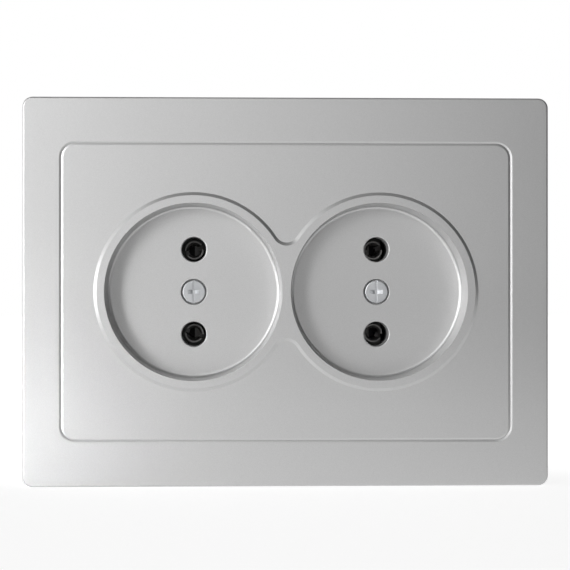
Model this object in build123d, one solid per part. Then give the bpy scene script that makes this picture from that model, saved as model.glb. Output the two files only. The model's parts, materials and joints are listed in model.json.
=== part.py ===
from build123d import *
import os
from math import atan, cos, degrees, hypot, radians, tan

# Double wall socket, unearthed, with its working parts.
# +X is right, +Z is up, the front faces -Y. The wall surface is y = 0 and the origin is
# the middle of the box-screw pattern on that surface. All sizes are in millimetres.

# Plug recesses: the socket is built outwards from them
pin_spacing = 19.0  # the standard distance between a plug's pins
pin_length = 19.0  # the standard length of a plug's pins
pin_hole_diameter = 5.5
pin_hole_edge = 0.25  # rounding of the holes' edges
well_diameter = 39.2  # at the rim
well_gap = 1.8  # land between the two rims
well_depth = 8.5
well_draft = 2.5  # degrees that the wall leans outwards
well_floor_radius = 0.7  # where wall and floor meet
well_wall = 1.8
well_floor_thickness = 2.0
collar_length = 5.5  # pin-hole collars, measured from the recess floor
collar_wall = 0.9

# Raised land around the recesses
land_step = 0.5  # height over the cover plate
land_margin = 2.0  # from the rim to the middle of the sloped step
land_slope = 0.7  # width of the sloped step
land_notch_radius = 2.9  # rounding of the waist between the two lobes

# Cover plate
cover_side_margin = 9.4  # from the rims to the plate's left and right edges
cover_end_margin = 13.1  # from the rims to the plate's top and bottom edges
cover_thickness = 2.0
cover_corner_radius = 3.2
groove_edge_width = 0.45  # of the shallow slope on each side of the groove round the cover
groove_edge_depth = 0.11
cover_skirt_depth = 3.0
cover_skirt_wall = 1.4
cover_rib = 1.2

# Frame
frame_depth = 13.5  # from the wall to the flat front
frame_side_band = 8.4
frame_end_band = 10.1
frame_wall = 2.0
frame_corner_radius = 2.2
frame_edge_radius = 0.4
frame_rib = 1.2
frame_rib_depth = 5.0
ledge_width = 2.4  # what the cover plate presses on
ledge_thickness = 1.5
ledge_ring_wall = 2.0

# Play between pieces that fit together
cover_gap = 0.05  # at the foot of the groove between cover and frame
skirt_gap = 0.25
window_gap = 0.3  # bracket window round the body
collar_gap = 0.15  # pin-hole collars in the body
contact_gap = 0.4  # contacts in their pockets
thread_gap = 0.02  # screws in their plain-bored threads
hole_gap = 0.2  # screws in clearance holes
blind_room = 1.0  # blind holes beyond a screw's tip
pivot_gap = 0.05  # claws on their pins
seat_gap = 0.05  # under a screw head that turns
claw_gap = 0.35  # claw beside the body
cheek_gap = 0.2  # claw cheeks beside the bracket ears

# Contacts and terminals
contact_depth = 9.4  # from the recess floor to the contact sleeves
strip_thickness = 0.8
grip_diameter = 2.6  # inside of a contact sleeve at rest
sleeve_wall = 0.8
sleeve_slot = 1.1  # split between a sleeve's upper and lower half
sleeve_root = 3.0  # unsplit length at the base
sleeve_turn = 20.0  # tilt of the split in degrees
sleeve_lead_in = 0.5  # chamfer that leads a pin in
contact_base_width = 5.6
contact_base_height = 7.4
bar_width = 4.4  # bar between the two contacts of a pole
pin_tip_gap = 2.7  # behind the pin tips
tab_width = 10.0
tab_length = 12.0
tab_rise = 7.7  # from the pin line out to the tab's clamping face
tab_bend_radius = 1.2
clamp_width = 9.6
clamp_length = 8.0
clamp_thickness = 1.4
wire_diameter = 2.6  # grooves under the clamp
wire_hole_diameter = 3.2
wire_funnel = 0.6
terminal_screw_diameter = 3.5
terminal_head_diameter = 6.2
terminal_head_height = 2.2
terminal_screw_reach = 3.4  # below the tab

# Insulating body
body_wall = 1.6
boss_wall = 1.2
boss_corner_radius = 2.5
body_edge_radius = 0.5
terminal_recess = 1.7  # how far a terminal screw lies below the body's end
back_thickness = 1.8
back_inset = 0.3
back_screw_spacing = 18.0
back_screw_diameter = 2.9
back_head_diameter = 5.4
back_screw_length = 9.0

# Cover screws and their inserts
cover_screw_diameter = 3.0
cover_head_diameter = 5.1
cover_head_height = 1.5
cover_bore_diameter = 5.7
cover_bore_depth = 1.3
cover_bore_edge = 0.15
cover_screw_reach = 1.5  # past the insert
insert_diameter = 4.4
insert_length = 7.0
insert_sink = 1.0  # below the body's front face
insert_wall = 0.7  # between insert and claw notch
head_edge_radius = 0.2
slot_width = 0.6
slot_share = 0.45  # of the head's height
cross_length = 2.9
cross_width = 0.9
cross_share = 0.65  # of the head's height

# Mounting bracket
bracket_thickness = 1.0
bracket_side_margin = 8.0  # beyond the claw screws
bracket_end_margin = 6.0  # beyond the box screws
bracket_corner_radius = 8.0
box_screw_spacing = 60.0  # the standard spacing of a round wall box
box_screw_hole = 4.2
flange_length = 48.0
flange_height = 4.0
bracket_screw_x = 13.0
bracket_screw_z = 18.0
bracket_screw_diameter = 2.9
bracket_head_diameter = 5.4
bracket_head_height = 1.6
bracket_screw_depth = 7.0  # tip behind the wall surface

# Claws
claw_sheet = 0.8
claw_inner_width = 4.2  # between the cheeks
claw_lever = 2.8  # from the pin to the screw
claw_lever_end = 2.2  # lever beyond the screw
claw_half_swing = 12.0  # degrees to each side of the lever's square position
claw_lug_radius = 1.45
claw_pin_diameter = 1.6
claw_pin_head_diameter = 2.6
claw_pin_head = 0.5
claw_pin_depth = 3.2  # behind the wall surface
claw_arm_width = 3.4
claw_back_start = 6.2  # where the web between the arms begins
claw_tooth_pitch = 2.0
claw_tooth_height = 0.9
claw_teeth = 3
claw_web = 1.0
claw_hole_diameter = 3.9
claw_screw_diameter = 3.0
claw_screw_depth = 8.0  # tip behind the wall surface
claw_head_diameter = 5.5
claw_head_room = 0.4  # between a claw screw's head and the recess floor
ear_thickness = 0.8
ear_radius = 1.6

# Places worked out from the sizes above
well_radius = well_diameter / 2
socket_x = (well_diameter + well_gap) / 2
pin_z = pin_spacing / 2
well_taper = tan(radians(well_draft))
well_floor_wall = well_radius - well_depth * well_taper
cover_width = 2 * (socket_x + well_radius + cover_side_margin)
cover_height = 2 * (well_radius + cover_end_margin)
opening_width = cover_width + 2 * cover_gap
opening_height = cover_height + 2 * cover_gap
frame_width = opening_width + 2 * frame_side_band
frame_height = opening_height + 2 * frame_end_band
front_y = -frame_depth
land_y = front_y - land_step
well_floor_y = land_y + well_depth
well_rear_y = well_floor_y + well_floor_thickness
cover_rear_y = front_y + cover_thickness
ledge_rear_y = cover_rear_y + ledge_thickness
body_front_y = well_rear_y
collar_rear_y = well_floor_y + collar_length
collar_diameter = pin_hole_diameter + 2 * collar_wall
mouth_y = well_floor_y + contact_depth
pocket_front_y = mouth_y - contact_gap
insert_front_y = body_front_y + insert_sink
insert_rear_y = insert_front_y + insert_length
web_y = well_floor_y + pin_length + pin_tip_gap
body_rear_y = web_y + strip_thickness
back_rear_y = body_rear_y + back_thickness
pocket_half_width = contact_base_width / 2 + contact_gap
pocket_half_height = contact_base_height / 2 + contact_gap
pocket_x = socket_x + pocket_half_width
pocket_z = pin_z + pocket_half_height
body_radius = hypot(pocket_x, pocket_z) + body_wall
body_half_width = pocket_x + body_wall
boss_half_height = pocket_z + boss_wall
tab_z = pin_z + tab_rise
tab_floor_z = tab_z - strip_thickness
tab_tip_y = body_rear_y - tab_length
terminal_y = (tab_tip_y + web_y) / 2
clamp_top_z = tab_z + clamp_thickness
terminal_top_z = clamp_top_z + terminal_head_height
body_half_height = terminal_top_z + terminal_recess
wire_x = (terminal_screw_diameter + wire_diameter) / 2 + hole_gap
wire_z = tab_z + wire_hole_diameter / 2
terminal_pocket_half = tab_width / 2 + contact_gap
notch_x = socket_x + insert_diameter / 2 + insert_wall
claw_pin_x = notch_x + claw_gap + claw_lug_radius
claw_screw_x = claw_pin_x + claw_lever
cheek_inner_z = claw_inner_width / 2
cheek_outer_z = cheek_inner_z + claw_sheet
ear_inner_z = cheek_outer_z + cheek_gap
ear_outer_z = ear_inner_z + ear_thickness
notch_half = ear_outer_z + claw_pin_head + claw_gap
claw_length = body_rear_y - claw_pin_depth
bracket_front_y = -bracket_thickness
bracket_width = 2 * (claw_screw_x + bracket_side_margin)
bracket_height = box_screw_spacing + 2 * bracket_end_margin
claw_head_height = bracket_front_y - seat_gap - claw_head_room - well_rear_y
spare = 1.0  # how far a cutting shape runs past what it cuts
fine = 0.001  # how near a plane an edge has to lie to count as in it


def slab(outline, front, rear):
    """A flat outline in x and z, made solid from y = front to y = rear."""
    plane = Plane(origin=(0, rear, 0), x_dir=(1, 0, 0), z_dir=(0, -1, 0))
    return extrude(plane * outline, amount=rear - front)


def rod(diameter, front, rear, x=0.0, z=0.0):
    """A round bar along y."""
    return slab(Pos(x, z) * Circle(diameter / 2), front, rear)


def post(diameter, low, high, x=0.0, y=0.0):
    """A round bar along z."""
    return extrude(Pos(x, y, low) * Circle(diameter / 2), amount=high - low)


def across(outline, half_width):
    """An outline in y and z, made solid to both sides of x = 0."""
    return extrude(Plane.YZ * outline, amount=half_width, both=True)


def block(x_range, y_range, z_range):
    """A box between three pairs of limits."""
    size = [high - low for low, high in (x_range, y_range, z_range)]
    middle = [(high + low) / 2 for low, high in (x_range, y_range, z_range)]
    return Pos(*middle) * Box(*size)


def front_edges(solid, y):
    """The edges that lie in the plane at depth y."""
    return solid.edges().filter_by_position(Axis.Y, y - fine, y + fine)


def on_both_sides(solid):
    """A solid with its mirror image on the other side of x = 0."""
    return solid + mirror(solid, about=Plane.YZ)


def above_and_below(solid):
    """A solid with its mirror image on the other side of z = 0."""
    return solid + mirror(solid, about=Plane.XY)


def groove_edge(solid, edges):
    """Slopes edges of a front face down into the groove between cover and frame."""
    front = solid.faces().sort_by(Axis.Y)[0]
    return chamfer(edges, groove_edge_width, groove_edge_depth, reference=front)


# Cover


def well_form(top_radius, floor_radius, top, floor, corner):
    """A round recess as a solid: sloped wall, rounded into a flat floor."""
    section = Polygon((0, top), (top_radius, top), (floor_radius, floor), (0, floor), align=None)
    foot = section.vertices().sort_by_distance(Vector(floor_radius, floor))[0]
    return revolve(fillet(foot, corner), Axis.Y)


def well_hollow():
    top = land_y - spare
    top_radius = well_radius + spare * well_taper
    return well_form(top_radius, well_floor_wall, top, well_floor_y, well_floor_radius)


def well_shell():
    outer_radius = well_radius + well_wall
    floor_radius = well_floor_wall + well_wall
    corner = well_floor_radius + well_wall
    return well_form(outer_radius, floor_radius, front_y, well_rear_y, corner)


def round_mouths(body, diameter, edge):
    """Rounds the mouths of all holes of one diameter in the recess floors."""
    circles = front_edges(body, well_floor_y).filter_by(GeomType.CIRCLE)
    mouths = [e for e in circles if abs(e.radius - diameter / 2) < fine]
    return fillet(mouths, edge)


def raised_land():
    """The figure-of-eight land, with its sloped step and its rounded waist."""
    foot_radius = well_radius + land_margin + land_slope / 2
    lobe = Circle(foot_radius)
    lobes = Pos(-socket_x, 0) * lobe + Pos(socket_x, 0) * lobe
    waist = [v for v in lobes.vertices() if abs(v.X) < foot_radius / 2]
    outline = fillet(waist, land_notch_radius - land_slope / 2)
    slope_angle = degrees(atan(land_slope / land_step))
    plane = Plane(origin=(0, front_y, 0), x_dir=(1, 0, 0), z_dir=(0, -1, 0))
    return extrude(plane * outline, amount=land_step, taper=slope_angle)


def cover_skirt():
    """The lip and the ribs behind the plate, which centre the cover in the frame."""
    inset = 2 * (ledge_width + skirt_gap)
    width = opening_width - inset
    height = opening_height - inset
    inner_width = width - 2 * cover_skirt_wall
    inner_height = height - 2 * cover_skirt_wall
    lip = RectangleRounded(width, height, cover_corner_radius)
    lip -= Rectangle(inner_width, inner_height)
    lip += Rectangle(inner_width, cover_rib)
    for side in (-1, 1):
        lip += Pos(side * socket_x, 0) * Rectangle(cover_rib, inner_height)
    return slab(lip, cover_rear_y, cover_rear_y + cover_skirt_depth)


def cover():
    outline = RectangleRounded(cover_width, cover_height, cover_corner_radius)
    plate = slab(outline, front_y, cover_rear_y)
    plate = groove_edge(plate, front_edges(plate, front_y))
    body = plate + raised_land() + cover_skirt()
    places = [Pos(side * socket_x, 0, 0) for side in (-1, 1)]
    for place in places:
        body += place * well_shell()
    for place in places:
        body -= place * well_hollow()
        body -= place * rod(cover_bore_diameter, well_floor_y - spare, well_floor_y + cover_bore_depth)
        body -= place * rod(cover_screw_diameter + 2 * hole_gap, well_floor_y, well_rear_y + spare)
        for z in (-pin_z, pin_z):
            body += place * rod(collar_diameter, well_floor_y, collar_rear_y, 0, z)
            body -= place * rod(pin_hole_diameter, well_floor_y - spare, collar_rear_y + spare, 0, z)
    body = round_mouths(body, pin_hole_diameter, pin_hole_edge)
    return round_mouths(body, cover_bore_diameter, cover_bore_edge)


# Frame


def frame():
    outer = slab(RectangleRounded(frame_width, frame_height, frame_corner_radius), front_y, 0)
    body = fillet(front_edges(outer, front_y), frame_edge_radius)
    inner_width = frame_width - 2 * frame_wall
    inner_height = frame_height - 2 * frame_wall
    body -= slab(Rectangle(inner_width, inner_height), front_y + frame_wall, spare)
    ring = Rectangle(opening_width + 2 * ledge_ring_wall, opening_height + 2 * ledge_ring_wall)
    body += slab(ring, front_y + frame_wall / 2, ledge_rear_y)
    ribs = Sketch()
    for x in (-socket_x, 0, socket_x):
        ribs += Pos(x, 0) * Rectangle(frame_rib, inner_height)
    for z in (-pin_z, pin_z):
        ribs += Pos(0, z) * Rectangle(inner_width, frame_rib)
    rib_front = front_y + frame_wall / 2
    body += slab(ribs, rib_front, rib_front + frame_rib_depth)
    opening = RectangleRounded(opening_width, opening_height, cover_corner_radius + cover_gap)
    body -= slab(opening, front_y - spare, cover_rear_y)
    through = Rectangle(opening_width - 2 * ledge_width, opening_height - 2 * ledge_width)
    body -= slab(through, front_y, spare)
    rim_x = (opening_width + frame_side_band) / 2
    rim_z = (opening_height + frame_end_band) / 2
    inner_rim = [e for e in front_edges(body, front_y) if abs(e.center().X) < rim_x]
    inner_rim = [e for e in inner_rim if abs(e.center().Z) < rim_z]
    return groove_edge(body, inner_rim)


# Insulating body


def notched(outline, grow):
    """An outline with a notch for the claw cut into each side."""
    notch_length = 2 * body_radius
    for side in (-1, 1):
        middle = side * (notch_x + grow + notch_length / 2)
        outline -= Pos(middle, 0) * Rectangle(notch_length, 2 * (notch_half - grow))
    return outline


def body_outline(grow=0.0):
    """The outline of the body behind the bracket, as round as a wall box."""
    outline = Circle(body_radius + grow)
    outline &= Rectangle(2 * (body_half_width + grow), 2 * (body_half_height + grow))
    return notched(outline, grow)


def boss_outline(grow=0.0):
    """The outline of the part that stands through the bracket."""
    width = 2 * (body_half_width + grow)
    height = 2 * (boss_half_height + grow)
    return notched(RectangleRounded(width, height, boss_corner_radius + grow), grow)


def contact_pockets():
    """The four pockets, their pin holes and collar seats, and the grooves for the two bars."""
    x_range = (socket_x - pocket_half_width, pocket_x)
    z_range = (pin_z - pocket_half_height, pocket_z)
    pocket = block(x_range, (pocket_front_y, body_rear_y + spare), z_range)
    pocket += rod(pin_hole_diameter, body_front_y, body_rear_y, socket_x, pin_z)
    seat_diameter = collar_diameter + 2 * collar_gap
    pocket += rod(seat_diameter, body_front_y - spare, collar_rear_y + collar_gap, socket_x, pin_z)
    groove_half = bar_width / 2 + contact_gap
    groove_y = (web_y - contact_gap / 2, body_rear_y + spare)
    groove = block((-socket_x, socket_x), groove_y, (pin_z - groove_half, pin_z + groove_half))
    return above_and_below(on_both_sides(pocket) + groove)


def terminal_pockets():
    """The space for each terminal, open at the end of the body and at the back."""
    half = terminal_pocket_half
    end_z = body_half_height + spare
    room = block((-half, half), (tab_tip_y - contact_gap, body_rear_y + spare), (tab_floor_z, end_z))
    relief_y = body_rear_y - 2 * tab_bend_radius
    relief = block((-half, half), (relief_y, body_rear_y + spare), (pin_z, tab_floor_z))
    blind_low = tab_floor_z - terminal_screw_reach - contact_gap
    hole = post(terminal_screw_diameter + 2 * hole_gap, blind_low, tab_z, 0, terminal_y)
    return above_and_below(room + relief + hole)


def bracket_screw_places():
    rows = (-bracket_screw_z, bracket_screw_z)
    return [(x, z) for x in (-bracket_screw_x, bracket_screw_x) for z in rows]


def base_body():
    body = slab(body_outline(), 0, body_rear_y)
    boss = slab(boss_outline(), body_front_y, spare)
    body += fillet(front_edges(boss, body_front_y), body_edge_radius)
    body -= contact_pockets()
    body -= terminal_pockets()
    cover_hole = cover_screw_diameter + 2 * hole_gap
    cover_hole_end = insert_rear_y + cover_screw_reach + blind_room
    for x in (-socket_x, socket_x):
        body -= rod(cover_hole, body_front_y - spare, cover_hole_end, x)
        body -= rod(insert_diameter, insert_front_y, insert_rear_y, x)
    back_hole = back_screw_diameter + 2 * thread_gap
    back_hole_end = back_rear_y - back_screw_length - blind_room
    for x in (-back_screw_spacing / 2, back_screw_spacing / 2):
        body -= rod(back_hole, back_hole_end, body_rear_y + spare, x)
    bracket_hole = bracket_screw_diameter + 2 * thread_gap
    for x, z in bracket_screw_places():
        body -= rod(bracket_hole, -spare, bracket_screw_depth + blind_room, x, z)
    return body


def base_back_cover():
    plate = slab(body_outline(-back_inset), body_rear_y, back_rear_y)
    plate = fillet(front_edges(plate, back_rear_y), body_edge_radius)
    hole = rod(wire_hole_diameter, body_rear_y - spare, back_rear_y + spare)
    for x in (-wire_x, wire_x):
        for z in (-wire_z, wire_z):
            plate -= Pos(x, 0, z) * hole
            plate -= Pos(x, 0, z) * funnel(wire_hole_diameter, wire_funnel, back_rear_y)
    for x in (-back_screw_spacing / 2, back_screw_spacing / 2):
        plate -= Pos(x, 0, 0) * countersunk_form(thread_gap, body_rear_y - spare)
    return plate


def funnel(diameter, flare, rear):
    """A cone that widens a hole at its rear mouth."""
    section = Polygon(
        (0, rear - flare), (diameter / 2, rear - flare), (diameter / 2 + flare, rear), (0, rear), align=None
    )
    return revolve(section, Axis.Y)


def countersunk_form(grow, tip):
    """A countersunk screw's outer form, its head flush with the back cover."""
    shank = back_screw_diameter / 2 + grow
    head = back_head_diameter / 2 + grow
    head_front = back_rear_y - (head - shank)
    section = Polygon(
        (0, tip), (shank, tip), (shank, head_front), (head, back_rear_y), (0, back_rear_y), align=None
    )
    return revolve(section, Axis.Y)


# Contacts and terminals


def contact():
    """A sleeve split into an upper and a lower half that spring apart round a pin."""
    bore = grip_diameter / 2
    outer = bore + sleeve_wall
    section = Polygon(
        (bore, mouth_y + sleeve_lead_in),
        (bore + sleeve_lead_in, mouth_y),
        (outer, mouth_y),
        (outer, web_y),
        (bore, web_y),
        align=None,
    )
    sleeve = revolve(section, Axis.Y)
    slot_y = (mouth_y - spare, web_y - sleeve_root)
    split = block((-outer, outer), slot_y, (-sleeve_slot / 2, sleeve_slot / 2))
    sleeve -= Rot(0, -sleeve_turn, 0) * split
    half_width = contact_base_width / 2
    half_height = contact_base_height / 2
    base = block((-half_width, half_width), (web_y, body_rear_y), (-half_height, half_height))
    base -= rod(grip_diameter, web_y - spare, body_rear_y + spare)
    return Pos(0, 0, pin_z) * (sleeve + base)


def terminal_tab():
    """The tab that rises from the bar and turns forward under the terminal screw."""
    outside = FilletPolyline(
        (body_rear_y, pin_z), (body_rear_y, tab_z), (tab_tip_y, tab_z), radius=tab_bend_radius
    )
    profile = make_face(offset(outside, amount=strip_thickness, side=Side.LEFT))
    tab = across(profile, tab_width / 2)
    thread = terminal_screw_diameter + 2 * thread_gap
    return tab - post(thread, tab_floor_z - spare, tab_z + spare, 0, terminal_y)


def contact_strip():
    """One pole: a contact for each recess, the bar between them and the terminal tab."""
    bar_z = (pin_z - bar_width / 2, pin_z + bar_width / 2)
    strip = block((-socket_x, socket_x), (web_y, body_rear_y), bar_z)
    for x in (-socket_x, socket_x):
        strip += Pos(x, 0, 0) * contact()
    return strip + terminal_tab()


def terminal_clamp():
    """A pressure plate with a groove on each side of its screw for a wire."""
    x_range = (-clamp_width / 2, clamp_width / 2)
    y_range = (terminal_y - clamp_length / 2, terminal_y + clamp_length / 2)
    plate = block(x_range, y_range, (tab_z, clamp_top_z))
    plate = chamfer(plate.edges().filter_by(Axis.Z), body_edge_radius)
    for x in (-wire_x, wire_x):
        groove = Plane.XZ * Pos(x, tab_z - wire_diameter / 4) * Circle(wire_diameter / 2)
        plate -= Pos(0, terminal_y, 0) * extrude(groove, amount=clamp_length, both=True)
    hole = terminal_screw_diameter + 2 * hole_gap
    return plate - post(hole, tab_z - spare, clamp_top_z + spare, 0, terminal_y)


def terminal_screw():
    tip_z = tab_floor_z - terminal_screw_reach
    screw = post(terminal_screw_diameter, tip_z, clamp_top_z, 0, terminal_y)
    screw += post(terminal_head_diameter, clamp_top_z, terminal_top_z, 0, terminal_y)
    radius = terminal_head_diameter / 2 + spare
    slot_y = (terminal_y - slot_width / 2, terminal_y + slot_width / 2)
    slot_z = (terminal_top_z - slot_share * terminal_head_height, terminal_top_z + spare)
    return screw - block((-radius, radius), slot_y, slot_z)


# Screws that run front to back


def driver_recess(top, head_diameter, head_height):
    """A full slot up and down, crossed by two short arms that slope down to the middle."""
    half = slot_width / 2
    radius = head_diameter / 2 + spare
    arm = cross_length / 2
    slot = block((-half, half), (top - spare, top + slot_share * head_height), (-radius, radius))
    floor = top + cross_share * head_height
    upper = [(-arm, top), (-arm, top - spare), (arm, top - spare), (arm, top)]
    section = Polygon(*upper, (half, floor), (-half, floor), align=None)
    return slot + extrude(section, amount=cross_width / 2, both=True)


def headed_screw(head_diameter, head_height, diameter, seat, tip):
    """A screw with a rounded cheese head whose underside is at y = seat."""
    top = seat - head_height
    head = rod(head_diameter, top, seat)
    head = fillet(front_edges(head, top), min(head_edge_radius, head_height / 3))
    return head + rod(diameter, seat, tip) - driver_recess(top, head_diameter, head_height)


def cover_screws():
    seat = well_floor_y + cover_bore_depth
    tip = insert_rear_y + cover_screw_reach
    head = (cover_head_diameter, cover_head_height)
    screw = headed_screw(*head, cover_screw_diameter, seat, tip)
    return Compound(children=[Pos(x, 0, 0) * screw for x in (-socket_x, socket_x)])


def cover_inserts():
    thread = cover_screw_diameter + 2 * thread_gap
    insert = rod(insert_diameter, insert_front_y, insert_rear_y)
    insert -= rod(thread, insert_front_y - spare, insert_rear_y + spare)
    return Compound(children=[Pos(x, 0, 0) * insert for x in (-socket_x, socket_x)])


def bracket_screws():
    head = (bracket_head_diameter, bracket_head_height)
    screw = headed_screw(*head, bracket_screw_diameter, bracket_front_y, bracket_screw_depth)
    return Compound(children=[Pos(x, 0, z) * screw for x, z in bracket_screw_places()])


def back_cover_screws():
    screw = countersunk_form(0, back_rear_y - back_screw_length)
    half = slot_width / 2
    radius = back_head_diameter
    depth = slot_share * (back_head_diameter - back_screw_diameter) / 2
    screw -= block((-radius, radius), (back_rear_y - depth, back_rear_y + spare), (-half, half))
    places = (-back_screw_spacing / 2, back_screw_spacing / 2)
    return Compound(children=[Pos(x, 0, 0) * screw for x in places])


def claw_screw():
    seat = bracket_front_y - seat_gap
    head = (claw_head_diameter, claw_head_height)
    screw = headed_screw(*head, claw_screw_diameter, seat, claw_screw_depth)
    return Pos(claw_screw_x, 0, 0) * screw


# Bracket and claws


def claw_ears():
    """The two ears behind the bracket that carry one claw's pin."""
    ear = Pos(0, claw_pin_depth / 2) * Rectangle(2 * ear_radius, claw_pin_depth)
    ear += Pos(0, claw_pin_depth) * Circle(ear_radius)
    ear -= Pos(0, claw_pin_depth) * Circle(claw_pin_diameter / 2 + thread_gap)
    solid = extrude(Pos(claw_pin_x, 0, ear_inner_z) * ear, amount=ear_thickness)
    return above_and_below(solid)


def mounting_bracket():
    outline = RectangleRounded(bracket_width, bracket_height, bracket_corner_radius)
    outline -= boss_outline(window_gap)
    for z in (-box_screw_spacing / 2, box_screw_spacing / 2):
        outline -= Pos(0, z) * Circle(box_screw_hole / 2)
    for x in (-claw_screw_x, claw_screw_x):
        outline -= Pos(x, 0) * Circle(claw_screw_diameter / 2 + hole_gap)
    for x, z in bracket_screw_places():
        outline -= Pos(x, z) * Circle(bracket_screw_diameter / 2 + hole_gap)
    body = slab(outline, bracket_front_y, 0)
    half = flange_length / 2
    edge_z = bracket_height / 2
    flange = block((-half, half), (-flange_height, 0), (edge_z - bracket_thickness, edge_z))
    body += above_and_below(flange)
    return body + on_both_sides(claw_ears())


def claw_cheek():
    """One side of a claw, seen along z: lever, arm and saw teeth."""
    lever_length = claw_lever + claw_lever_end
    lug = Circle(claw_lug_radius)
    lever = Pos(lever_length / 2, 0) * Rectangle(lever_length, 2 * claw_web)
    outer = claw_arm_width - claw_lug_radius
    teeth_start = claw_length - claw_teeth * claw_tooth_pitch
    edge = [(-claw_lug_radius, 0), (claw_lug_radius, 0), (outer, teeth_start / 2)]
    for tooth in range(claw_teeth):
        start = teeth_start + tooth * claw_tooth_pitch
        edge += [(outer, start), (outer + claw_tooth_height, start + claw_tooth_pitch)]
    edge += [(-claw_lug_radius, claw_length)]
    arm = Polygon(*edge, align=None)
    cheek = lug + arm + Rot(0, 0, claw_half_swing) * lever
    return cheek - Circle(claw_pin_diameter / 2 + pivot_gap)


def right_claw():
    """A U-shaped pressing that turns on its pin when its screw draws the lever forward."""
    cheek = extrude(Pos(0, 0, cheek_inner_z) * claw_cheek(), amount=claw_sheet)
    body = above_and_below(cheek)
    lever_length = claw_lever + claw_lever_end
    z_range = (-cheek_outer_z, cheek_outer_z)
    lever = block((claw_lug_radius, lever_length), (-claw_web / 2, claw_web / 2), z_range)
    hole_x = claw_lever / cos(radians(claw_half_swing / 2))
    lever -= rod(claw_hole_diameter, -claw_web, claw_web, hole_x)
    body += Rot(0, 0, claw_half_swing) * lever
    back_x = (-claw_lug_radius, -claw_lug_radius + claw_sheet)
    body += block(back_x, (claw_back_start, claw_length), z_range)
    return Pos(claw_pin_x, claw_pin_depth, 0) * body


def right_claw_pin():
    pin = post(claw_pin_diameter, -ear_outer_z, ear_outer_z, claw_pin_x, claw_pin_depth)
    head_top = ear_outer_z + claw_pin_head
    head = post(claw_pin_head_diameter, ear_outer_z, head_top, claw_pin_x, claw_pin_depth)
    return pin + above_and_below(head)


def left(solid):
    return mirror(solid, about=Plane.YZ)


def lower(solid):
    return mirror(solid, about=Plane.XY)


pieces = {
    "frame": frame(),
    "cover": cover(),
    "cover_screws": cover_screws(),
    "cover_inserts": cover_inserts(),
    "mounting_bracket": mounting_bracket(),
    "bracket_screws": bracket_screws(),
    "base_body": base_body(),
    "base_back_cover": base_back_cover(),
    "back_cover_screws": back_cover_screws(),
    "upper_contact_strip": contact_strip(),
    "lower_contact_strip": lower(contact_strip()),
    "upper_terminal_clamp": terminal_clamp(),
    "lower_terminal_clamp": lower(terminal_clamp()),
    "terminal_screws": Compound(children=[terminal_screw(), lower(terminal_screw())]),
    "left_claw": left(right_claw()),
    "right_claw": right_claw(),
    "left_claw_pin": left(right_claw_pin()),
    "right_claw_pin": right_claw_pin(),
    "left_claw_screw": Pos(-2 * claw_screw_x, 0, 0) * claw_screw(),
    "right_claw_screw": claw_screw(),
}

os.makedirs("parts", exist_ok=True)
for name, shape in pieces.items():
    export_step(shape, f"parts/{name}.step")
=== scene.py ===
import json
from math import radians

import bpy
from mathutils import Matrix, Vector


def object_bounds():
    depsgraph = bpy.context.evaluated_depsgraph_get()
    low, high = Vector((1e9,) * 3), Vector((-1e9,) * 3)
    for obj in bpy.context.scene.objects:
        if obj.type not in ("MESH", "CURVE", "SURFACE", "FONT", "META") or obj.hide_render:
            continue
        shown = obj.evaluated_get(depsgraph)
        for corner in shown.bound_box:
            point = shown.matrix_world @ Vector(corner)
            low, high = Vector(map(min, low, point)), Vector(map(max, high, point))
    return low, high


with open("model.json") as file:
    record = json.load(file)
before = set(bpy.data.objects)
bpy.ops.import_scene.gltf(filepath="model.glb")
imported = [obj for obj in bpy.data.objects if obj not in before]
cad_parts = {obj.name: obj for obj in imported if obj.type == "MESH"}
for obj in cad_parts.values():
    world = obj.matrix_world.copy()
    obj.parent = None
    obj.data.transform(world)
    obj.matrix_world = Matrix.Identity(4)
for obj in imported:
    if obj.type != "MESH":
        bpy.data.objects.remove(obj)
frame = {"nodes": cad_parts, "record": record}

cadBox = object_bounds()
nodes = frame["nodes"]
mm = 0.001
white = (1, 1, 1, 1)
bpy.ops.object.select_all(action="DESELECT")
print("frame loaded:", len(nodes), "nodes")


# small helpers

def addNode(tree, kind, place, **settings):
    node = tree.nodes.new(kind)
    node.location = place
    for key, value in settings.items():
        setattr(node, key, value)
    return node


def setInputs(node, **values):
    for key, value in values.items():
        node.inputs[key.replace("_", " ")].default_value = value


def wire(tree, source, output, target, entry):
    tree.links.new(source.outputs[output], target.inputs[entry])


def newGroup(name, inputs, outputs):
    group = bpy.data.node_groups.new(name, "ShaderNodeTree")
    for label, value in inputs.items():
        socket = group.interface.new_socket(name=label, in_out="INPUT", socket_type="NodeSocketFloat")
        socket.default_value = value
    for label in outputs:
        group.interface.new_socket(name=label, in_out="OUTPUT", socket_type="NodeSocketFloat")
    start = addNode(group, "NodeGroupInput", (-900, 0))
    end = addNode(group, "NodeGroupOutput", (700, 0))
    return group, start, end


def turnTo(place, target):
    # the rotation of a lamp, card or camera at place that looks at target
    return (Vector(target) - Vector(place)).to_track_quat("-Z", "Y").to_euler()


# groups that several finishes share

def buildGrainGroup():
    # fine tooled texture: a height for the bump and a slow drift in tone
    group, start, end = newGroup("tooledGrain", {"Scale": 4000.0, "Drift Scale": 60.0}, ["Height", "Drift"])
    coords = addNode(group, "ShaderNodeTexCoord", (-900, -250))
    fine = addNode(group, "ShaderNodeTexNoise", (-500, 150))
    setInputs(fine, Detail=3.0, Roughness=0.6)
    slow = addNode(group, "ShaderNodeTexNoise", (-500, -200))
    setInputs(slow, Detail=4.0, Roughness=0.55)
    for texture, entry in ((fine, "Scale"), (slow, "Drift Scale")):
        wire(group, coords, "Object", texture, "Vector")
        wire(group, start, entry, texture, "Scale")
    wire(group, fine, "Fac", end, "Height")
    wire(group, slow, "Fac", end, "Drift")
    return group


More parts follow.
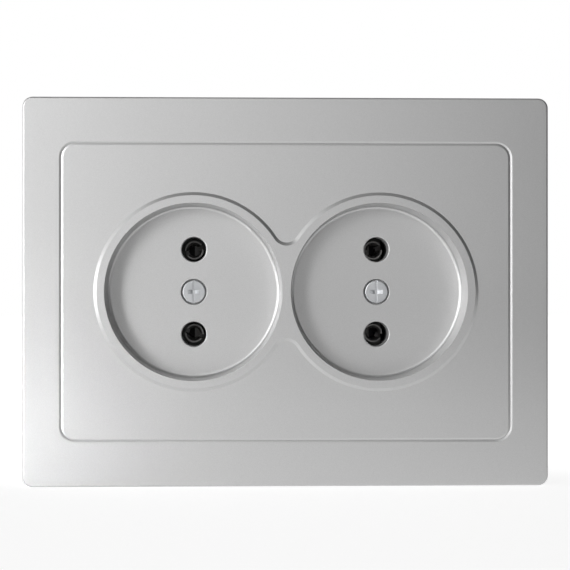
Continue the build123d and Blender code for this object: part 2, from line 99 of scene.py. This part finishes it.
def buildFlakeGroup():
    # tiny plates in the lacquer, each with a tone of its own
    group, start, end = newGroup("lacquerFlake", {"Cells": 9000.0}, ["Tone"])
    coords = addNode(group, "ShaderNodeTexCoord", (-900, -250))
    cells = addNode(group, "ShaderNodeTexVoronoi", (-500, 0))
    split = addNode(group, "ShaderNodeSeparateColor", (-200, 0))
    wire(group, coords, "Object", cells, "Vector")
    wire(group, start, "Cells", cells, "Scale")
    wire(group, cells, "Color", split, "Color")
    wire(group, split, "Red", end, "Tone")
    return group


def buildRolledGroup():
    # long faint lines along x, as rolled or brushed strip has
    group, start, end = newGroup("rolledLines", {"Scale": 700.0, "Stretch": 0.06}, ["Lines"])
    coords = addNode(group, "ShaderNodeTexCoord", (-900, -250))
    stretch = addNode(group, "ShaderNodeCombineXYZ", (-700, -450))
    setInputs(stretch, Y=1.0, Z=1.0)
    scaled = addNode(group, "ShaderNodeVectorMath", (-450, -250), operation="MULTIPLY")
    lines = addNode(group, "ShaderNodeTexNoise", (-200, 0))
    setInputs(lines, Detail=5.0, Roughness=0.65)
    wire(group, start, "Stretch", stretch, "X")
    wire(group, coords, "Object", scaled, 0)
    wire(group, stretch, "Vector", scaled, 1)
    wire(group, scaled, "Vector", lines, "Vector")
    wire(group, start, "Scale", lines, "Scale")
    wire(group, lines, "Fac", end, "Lines")
    return group


grainGroup = buildGrainGroup()
flakeGroup = buildFlakeGroup()
rolledGroup = buildRolledGroup()
print("shared effects built")


# finishes

rampEnds = (0.3, 0.7)  # most noise values lie between these
# a Mix node lists its sockets once for each kind of data, and these are the colour ones
mixColour = {"factor": 0, "first": 6, "second": 7, "result": 2}


def emptyMaterial(name):
    material = bpy.data.materials.new(name)
    material.use_nodes = True
    tree = material.node_tree
    tree.nodes.clear()
    return material, tree


def newMaterial(name):
    material, tree = emptyMaterial(name)
    shader = addNode(tree, "ShaderNodeBsdfPrincipled", (400, 0))
    output = addNode(tree, "ShaderNodeOutputMaterial", (750, 0))
    wire(tree, shader, "BSDF", output, "Surface")
    return material, tree, shader


def placeGroup(tree, group, place, values):
    node = addNode(tree, "ShaderNodeGroup", place, node_tree=group)
    for label, value in values.items():
        node.inputs[label].default_value = value
    return node


def rangeOf(tree, source, output, low, high, place):
    # spreads a 0 to 1 value over low to high
    node = addNode(tree, "ShaderNodeMapRange", place)
    setInputs(node, To_Min=low, To_Max=high)
    wire(tree, source, output, node, "Value")
    return node


def colourBetween(tree, source, output, first, second, place):
    ramp = addNode(tree, "ShaderNodeValToRGB", place)
    for stop, position, colour in zip(ramp.color_ramp.elements, rampEnds, (first, second)):
        stop.position = position
        stop.color = (*colour, 1)
    wire(tree, source, output, ramp, "Fac")
    return ramp


def bumpFrom(tree, source, output, strength, distance, shader, place):
    bump = addNode(tree, "ShaderNodeBump", place)
    setInputs(bump, Strength=strength, Distance=distance)
    wire(tree, source, output, bump, "Height")
    wire(tree, bump, "Normal", shader, "Normal")


lacquerSettings = {
    "darkFlake": (0.585, 0.585, 0.585),
    "lightFlake": (0.635, 0.635, 0.635),
    "metallic": 0.8,
    "roughness": (0.37, 0.43),
    "flake": {"Cells": 16000.0},
    "peel": {"Scale": 1500.0, "Drift Scale": 45.0},
    "peelStrength": 0.3,
    "peelDepth": 0.004 * mm,
    "barePale": (0.66, 0.66, 0.66),
    "bareDull": (0.58, 0.58, 0.58),
    "bareFrom": (-5.2 * mm, -4.7 * mm),  # just below the recess floor
    "bareEdge": (0.2 * mm, 0.5 * mm),  # round a pin or screw hole
}
pinHole = next(mount for mount in frame["record"]["mounts"] if mount["name"] == "right_upper_pin_hole")


def bareHoleMask(tree):
    # 1 inside the pin and screw holes, which the spray doesn't reach
    s = lacquerSettings
    where = addNode(tree, "ShaderNodeTexCoord", (-1500, 550))
    spot = addNode(tree, "ShaderNodeSeparateXYZ", (-1300, 550))
    wire(tree, where, "Object", spot, "Vector")
    deep = rangeOf(tree, spot, "Y", 0.0, 1.0, (-900, 550))
    setInputs(deep, From_Min=s["bareFrom"][0], From_Max=s["bareFrom"][1])
    # distance from the nearest of the holes, which stand evenly in two columns
    column = addNode(tree, "ShaderNodeMath", (-1300, 800), operation="ABSOLUTE")
    across = addNode(tree, "ShaderNodeMath", (-1100, 800), operation="SUBTRACT")
    across.inputs[1].default_value = pinHole["pos_m"][0]
    upright = addNode(tree, "ShaderNodeMath", (-1100, 1000), operation="PINGPONG")
    upright.inputs[1].default_value = pinHole["pos_m"][2] / 2
    flat = addNode(tree, "ShaderNodeCombineXYZ", (-900, 800))
    reach = addNode(tree, "ShaderNodeVectorMath", (-700, 800), operation="LENGTH")
    wire(tree, spot, "X", column, 0)
    wire(tree, column, "Value", across, 0)
    wire(tree, spot, "Z", upright, 0)
    wire(tree, across, "Value", flat, "X")
    wire(tree, upright, "Value", flat, "Z")
    wire(tree, flat, "Vector", reach, 0)
    inside = rangeOf(tree, reach, "Value", 1.0, 0.0, (-500, 800))
    holeRadius = pinHole["dims"]["r_mm"] * mm
    setInputs(inside, From_Min=holeRadius + s["bareEdge"][0], From_Max=holeRadius + s["bareEdge"][1])
    bare = addNode(tree, "ShaderNodeMath", (-300, 650), operation="MULTIPLY")
    wire(tree, deep, "Result", bare, 0)
    wire(tree, inside, "Result", bare, 1)
    return bare


def silverLacquer(name, bareHoles=False):
    s = lacquerSettings
    material, tree, shader = newMaterial(name)
    flake = placeGroup(tree, flakeGroup, (-700, 250), s["flake"])
    grain = placeGroup(tree, grainGroup, (-700, -100), s["peel"])
    colour = colourBetween(tree, flake, "Tone", s["darkFlake"], s["lightFlake"], (-350, 250))
    rough = rangeOf(tree, grain, "Drift", *s["roughness"], (-350, -50))
    wire(tree, colour, "Color", shader, "Base Color")
    wire(tree, rough, "Result", shader, "Roughness")
    shader.inputs["Metallic"].default_value = s["metallic"]
    bumpFrom(tree, grain, "Height", s["peelStrength"], s["peelDepth"], shader, (0, -250))
    if bareHoles:
        # pale plastic takes the place of the lacquer
        bare = bareHoleMask(tree)
        plastic = colourBetween(tree, grain, "Drift", s["bareDull"], s["barePale"], (-350, 800))
        both = addNode(tree, "ShaderNodeMix", (0, 500), data_type="RGBA")
        wire(tree, bare, "Value", both, mixColour["factor"])
        wire(tree, colour, "Color", both, mixColour["first"])
        wire(tree, plastic, "Color", both, mixColour["second"])
        wire(tree, both, mixColour["result"], shader, "Base Color")
        metal = rangeOf(tree, bare, "Value", s["metallic"], 0.0, (0, 250))
        wire(tree, metal, "Result", shader, "Metallic")
    return material


mouldingSettings = {
    "deep": (0.030, 0.030, 0.032),
    "pale": (0.058, 0.058, 0.061),
    "roughness": (0.48, 0.66),
    "grain": {"Scale": 2600.0, "Drift Scale": 90.0},
    "grainStrength": 0.6,
    "grainDepth": 0.02 * mm,
}


def darkMoulding():
    s = mouldingSettings
    material, tree, shader = newMaterial("darkMoulding")
    grain = placeGroup(tree, grainGroup, (-700, 0), s["grain"])
    colour = colourBetween(tree, grain, "Drift", s["deep"], s["pale"], (-350, 200))
    rough = rangeOf(tree, grain, "Drift", *s["roughness"], (-350, -50))
    wire(tree, colour, "Color", shader, "Base Color")
    wire(tree, rough, "Result", shader, "Roughness")
    bumpFrom(tree, grain, "Height", s["grainStrength"], s["grainDepth"], shader, (0, -250))
    return material


brassSettings = {
    "dull": (0.52, 0.38, 0.16),
    "clean": (0.74, 0.58, 0.29),
    "roughness": (0.28, 0.46),
}
# nickel plate of the contacts: both tones are set far darker than the plate's own colour, as painted shade
# for the deep pin holes the contacts sit in; only the spread between them is the plate's own tone
platedPaintedShadeSettings = {
    "dull": (0.22, 0.218, 0.214),
    "clean": (0.36, 0.355, 0.348),
    "roughness": (0.38, 0.54),
}
stripPattern = {
    "lines": {"Scale": 900.0, "Stretch": 0.05},
    "grain": {"Scale": 3000.0, "Drift Scale": 160.0},
    "lineStrength": 0.5,
    "lineDepth": 0.008 * mm,
}


def rolledStrip(name, s):
    pattern = stripPattern
    material, tree, shader = newMaterial(name)
    lines = placeGroup(tree, rolledGroup, (-700, -150), pattern["lines"])
    grain = placeGroup(tree, grainGroup, (-700, 150), pattern["grain"])
    colour = colourBetween(tree, grain, "Drift", s["dull"], s["clean"], (-350, 250))
    rough = rangeOf(tree, lines, "Lines", *s["roughness"], (-350, -50))
    wire(tree, colour, "Color", shader, "Base Color")
    wire(tree, rough, "Result", shader, "Roughness")
    shader.inputs["Metallic"].default_value = 1.0
    bumpFrom(tree, lines, "Lines", pattern["lineStrength"], pattern["lineDepth"], shader, (0, -250))
    return material


zincSettings = {
    "dull": (0.50, 0.515, 0.53),
    "bright": (0.69, 0.70, 0.715),
    "roughness": (0.26, 0.44),
    "grain": {"Scale": 2200.0, "Drift Scale": 140.0},
    "lines": {"Scale": 1200.0, "Stretch": 0.2},
    "lineStrength": 0.4,
    "lineDepth": 0.006 * mm,
}


def zincPlate():
    s = zincSettings
    material, tree, shader = newMaterial("zincPlate")
    grain = placeGroup(tree, grainGroup, (-700, 150), s["grain"])
    lines = placeGroup(tree, rolledGroup, (-700, -150), s["lines"])
    colour = colourBetween(tree, grain, "Drift", s["dull"], s["bright"], (-350, 250))
    rough = rangeOf(tree, grain, "Drift", *s["roughness"], (-350, -50))
    wire(tree, colour, "Color", shader, "Base Color")
    wire(tree, rough, "Result", shader, "Roughness")
    shader.inputs["Metallic"].default_value = 1.0
    bumpFrom(tree, lines, "Lines", s["lineStrength"], s["lineDepth"], shader, (0, -250))
    return material


finishes = {
    "silver_plastic": silverLacquer("silverLacquer"),
    "dark_moulding": darkMoulding(),
    "brass": rolledStrip("turnedBrass", brassSettings),
    "plated_brass": rolledStrip("nickelPlatePaintedShade", platedPaintedShadeSettings),
    "zinc_steel": zincPlate(),
}
for part in frame["record"]["subparts"]:
    piece = nodes[part["node"]]
    for index in range(len(piece.data.materials)):
        piece.data.materials[index] = finishes[part["material_slot"]]
nodes["cover"].data.materials[0] = silverLacquer("coverLacquer", bareHoles=True)
print("finishes assigned")


# camera

cameraSettings = {
    "place": (-15.5 * mm, -429.35 * mm, 0.57 * mm),
    "aim": (-0.35 * mm, -13.5 * mm, 1.51 * mm),
    "lens": 119.3,
    "sensor": 36.0,
    "clipStart": 0.01,
}


def addCamera():
    s = cameraSettings
    bpy.ops.object.camera_add(location=s["place"])
    camera = bpy.context.object
    camera.name = "frontCamera"
    camera.data.sensor_width = s["sensor"]
    camera.data.lens = s["lens"]
    camera.data.clip_start = s["clipStart"]
    camera.rotation_euler = turnTo(s["place"], s["aim"])
    bpy.context.scene.camera = camera


addCamera()
print("camera placed")


# floor, world, lamps and cards

floorSettings = {
    "wide": 4.0,
    "front": -0.16,
    "back": 2.6,
    "colour": (0.5, 0.5, 0.5, 1),
    "lift": (0.805, 1.0),  # glow that the camera sees, round the object and away from it
    "fade": (-0.03, 0.06),  # from one lift to the other, going back
    "frontFade": (-0.135, -0.158),  # and coming forward
}


def seenDirectly(tree, place):
    # 1 for what the camera sees, straight or in a mirror or through glass
    path = addNode(tree, "ShaderNodeLightPath", place)
    glossy = addNode(tree, "ShaderNodeMath", (place[0] + 200, place[1]), operation="MAXIMUM")
    clear = addNode(tree, "ShaderNodeMath", (place[0] + 400, place[1]), operation="MAXIMUM")
    wire(tree, path, "Is Camera Ray", glossy, 0)
    wire(tree, path, "Is Glossy Ray", glossy, 1)
    wire(tree, glossy, "Value", clear, 0)
    wire(tree, path, "Is Transmission Ray", clear, 1)
    return clear


def addFloor():
    s = floorSettings
    middle = (s["front"] + s["back"]) / 2
    deep = s["back"] - s["front"]
    bpy.ops.mesh.primitive_plane_add(size=1, location=(0, middle, cadBox[0].z))
    floor = bpy.context.object
    floor.name = "floor"
    floor.scale = (s["wide"], deep, 1)
    material, tree = emptyMaterial("paleFloor")
    matt = addNode(tree, "ShaderNodeBsdfDiffuse", (0, 100))
    matt.inputs["Color"].default_value = s["colour"]
    glow = addNode(tree, "ShaderNodeEmission", (0, -100))
    seen = seenDirectly(tree, (-900, -100))
    where = addNode(tree, "ShaderNodeTexCoord", (-900, -350))
    along = addNode(tree, "ShaderNodeSeparateXYZ", (-700, -350))
    wire(tree, where, "Object", along, "Vector")
    # the floor turns white towards the back and at its front edge, so that no edge of it shows
    brighter = addNode(tree, "ShaderNodeMath", (-250, -350), operation="MAXIMUM")
    for entry, (first, last) in enumerate((s["fade"], s["frontFade"])):
        fade = addNode(tree, "ShaderNodeMapRange", (-500, -350 - 300 * entry))
        fade.interpolation_type = "SMOOTHSTEP"
        setInputs(fade, From_Min=(first - middle) / deep, From_Max=(last - middle) / deep,
                  To_Min=s["lift"][0], To_Max=s["lift"][1])
        wire(tree, along, "Y", fade, "Value")
        wire(tree, fade, "Result", brighter, entry)
    lift = addNode(tree, "ShaderNodeMath", (-250, -100), operation="MULTIPLY")
    both = addNode(tree, "ShaderNodeAddShader", (250, 0))
    output = addNode(tree, "ShaderNodeOutputMaterial", (500, 0))
    wire(tree, seen, "Value", lift, 0)
    wire(tree, brighter, "Value", lift, 1)
    wire(tree, lift, "Value", glow, "Strength")
    wire(tree, matt, "BSDF", both, 0)
    wire(tree, glow, "Emission", both, 1)
    wire(tree, both, "Shader", output, "Surface")
    floor.data.materials.append(material)


worldSettings = {"ambient": 0.13, "seen": 1.0}


def setWorld():
    world = bpy.data.worlds.new("whiteStudio")
    bpy.context.scene.world = world
    world.use_nodes = True
    tree = world.node_tree
    tree.nodes.clear()
    seen = seenDirectly(tree, (-900, 0))
    level = addNode(tree, "ShaderNodeMapRange", (-250, 0))
    setInputs(level, To_Min=worldSettings["ambient"], To_Max=worldSettings["seen"])
    light = addNode(tree, "ShaderNodeBackground", (0, 0))
    light.inputs["Color"].default_value = white
    output = addNode(tree, "ShaderNodeOutputWorld", (250, 0))
    wire(tree, seen, "Value", level, "Value")
    wire(tree, level, "Result", light, "Strength")
    wire(tree, light, "Background", output, "Surface")


lampDefaults = {"aim": (0, 0, 0), "spread": 180}
lampSettings = [
    {"name": "leftKey", "place": (-0.454, -0.904, -0.035), "wide": 0.20, "tall": 0.50, "watts": 2.0},
    {"name": "upperKey", "place": (-0.533, -0.820, 0.208), "wide": 0.36, "tall": 0.30, "watts": 1.71},
    {"name": "sideSoftbox", "place": (-0.906, -0.423, 0.0), "wide": 0.40, "tall": 0.32, "watts": 2.86},
    {"name": "highFill", "place": (-0.126, -0.898, 0.423), "wide": 0.50, "tall": 0.40, "watts": 0.60},
    {"name": "frontFill", "place": (0.052, -1.008, 0.087), "wide": 0.35, "tall": 0.46, "watts": 0.454},
    # narrow and low, for the lower left corner
    {"name": "cornerLamp", "place": (-0.20, -0.33, -0.03), "wide": 0.06, "tall": 0.06, "watts": 0.0044,
     "aim": (-0.075, -0.0135, -0.045), "spread": 15},
]


def addLamps():
    for values in lampSettings:
        s = {**lampDefaults, **values}
        bpy.ops.object.light_add(type="AREA", location=s["place"])
        lamp = bpy.context.object
        lamp.name = s["name"]
        lamp.data.shape = "RECTANGLE"
        lamp.data.size = s["wide"]
        lamp.data.size_y = s["tall"]
        lamp.data.energy = s["watts"]
        lamp.data.spread = radians(s["spread"])
        lamp.rotation_euler = turnTo(s["place"], s["aim"])


# what the lacquer mirrors: a dark room in front and on the right, a grey wall on the left behind
# and a dim ceiling
cardSettings = [
    {"name": "frontCard", "place": (0.20, -1.30, 0.35), "facing": (0.20, 0, 0.35),
     "wide": 2.4, "tall": 1.4, "glow": 0.02},
    {"name": "rightCard", "place": (0.75, -0.20, 0.40), "facing": (0, -0.20, 0.40),
     "wide": 2.2, "tall": 1.4, "glow": 0.04},
    {"name": "leftCard", "place": (-0.60, 0.50, 0.30), "facing": (0, 0.20, 0.30),
     "wide": 1.0, "tall": 1.2, "glow": 0.10},
    {"name": "topCard", "place": (0.10, -0.20, 1.00), "facing": (0.10, -0.20, 0),
     "wide": 1.3, "tall": 2.2, "glow": 0.18},
]


def addCards():
    for s in cardSettings:
        material, tree = emptyMaterial(s["name"] + "Cloth")
        glow = addNode(tree, "ShaderNodeEmission", (0, 0))
        setInputs(glow, Color=white, Strength=s["glow"])
        output = addNode(tree, "ShaderNodeOutputMaterial", (250, 0))
        wire(tree, glow, "Emission", output, "Surface")
        bpy.ops.mesh.primitive_plane_add(size=1, location=s["place"])
        card = bpy.context.object
        card.name = s["name"]
        card.scale = (s["wide"], s["tall"], 1)
        card.rotation_euler = turnTo(s["place"], s["facing"])
        card.data.materials.append(material)
        card.visible_camera = False  # seen in reflections only


addFloor()
setWorld()
addLamps()
addCards()
bpy.context.scene.view_settings.view_transform = "Standard"
print("floor, world, lamps and cards placed")
